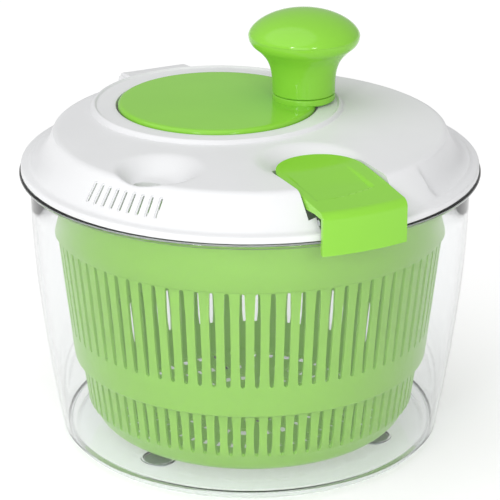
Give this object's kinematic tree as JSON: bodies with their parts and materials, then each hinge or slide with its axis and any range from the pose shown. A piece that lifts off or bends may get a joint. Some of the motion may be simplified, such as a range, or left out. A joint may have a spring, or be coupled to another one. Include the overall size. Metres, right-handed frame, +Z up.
{
  "type": "salad spinner",
  "caption": "Hand-cranked salad spinner: clear bowl, slotted green basket, white lid with geared crank disc and knob, spring latch, vents and a water inlet.",
  "frame": {"origin": "on the table, under the middle of the bowl, level with the undersides of its three feet", "axes": "+Z up through the bowl's axis, on which the basket spins; -Y towards the user, who sees the latch at the front right; +X to the user's right"},
  "size_m": [0.2454, 0.246, 0.225],
  "materials": {
    "bowl_plastic": "clear, polished",
    "foot_rubber": "matte",
    "green_plastic": "satin gloss",
    "basket_plastic": "satin gloss",
    "white_plastic": "satin gloss",
    "nylon": "matte, natural",
    "steel": "zinc bright"
  },
  "bodies": {
    "bowl": {"bowl": "bowl_plastic", "foot_left": "foot_rubber", "foot_right": "foot_rubber", "foot_rear": "foot_rubber"},
    "bush": {"pivot_bush": "nylon"},
    "basket": {"basket": "basket_plastic"},
    "lid": {"lid_shell": "white_plastic", "gear_housing": "white_plastic", "spindle_bush": "nylon", "housing_screw_1": "steel", "housing_screw_2": "steel", "housing_screw_3": "steel", "housing_screw_4": "steel", "latch_pin": "steel", "latch_spring": "steel"},
    "latch": {"latch": "green_plastic"},
    "crank": {"crank_disc": "green_plastic", "ring_gear": "nylon", "ring_gear_screw_1": "steel", "ring_gear_screw_2": "steel", "ring_gear_screw_3": "steel", "crank_washer": "steel", "crank_screw": "steel", "knob_washer": "steel", "knob_screw": "steel"},
    "knob": {"knob_stem": "green_plastic", "knob_cap": "green_plastic"},
    "drive": {"pinion": "nylon", "drive_spindle": "steel", "drive_plate": "white_plastic", "drive_washer": "steel", "drive_screw": "steel"}
  },
  "joints": [
    {"name": "basket_lift", "type": "slide", "parent": "bowl", "child": "bush", "axis": [0, 0, 1], "range_m": [0, 0.17]},
    {"name": "basket_spin", "type": "hinge", "parent": "bush", "child": "basket", "pos_m": [0, 0, 0.012], "axis": [0, 0, 1], "continuous": true},
    {"name": "lid_lift", "type": "slide", "parent": "bush", "child": "lid", "axis": [0, 0, 1], "range_m": [0, 0.12]},
    {"name": "latch_press", "type": "hinge", "parent": "lid", "child": "latch", "pos_m": [0.05266, -0.10336, 0.1592], "axis": [-0.891, -0.454, 0], "range_deg": [0, 9], "stiffness_Nm_per_rad": 0.6, "springref_deg": -14.32},
    {"name": "crank_spin", "type": "hinge", "parent": "lid", "child": "crank", "pos_m": [-0.01789, 0.03296, 0.175], "axis": [0, 0, 1], "continuous": true},
    {"name": "knob_spin", "type": "hinge", "parent": "crank", "child": "knob", "pos_m": [0.02926, 0.03775, 0.19], "axis": [0, 0, 1], "continuous": true},
    {"name": "drive_spin", "type": "hinge", "parent": "lid", "child": "drive", "pos_m": [0, 0, 0.15], "axis": [0, 0, 1], "continuous": true}
  ],
  "couplings": [
    {"joint": "drive_spin", "follows": "crank_spin", "ratio": 4.5714},
    {"joint": "basket_spin", "follows": "crank_spin", "ratio": 4.5714}
  ]
}
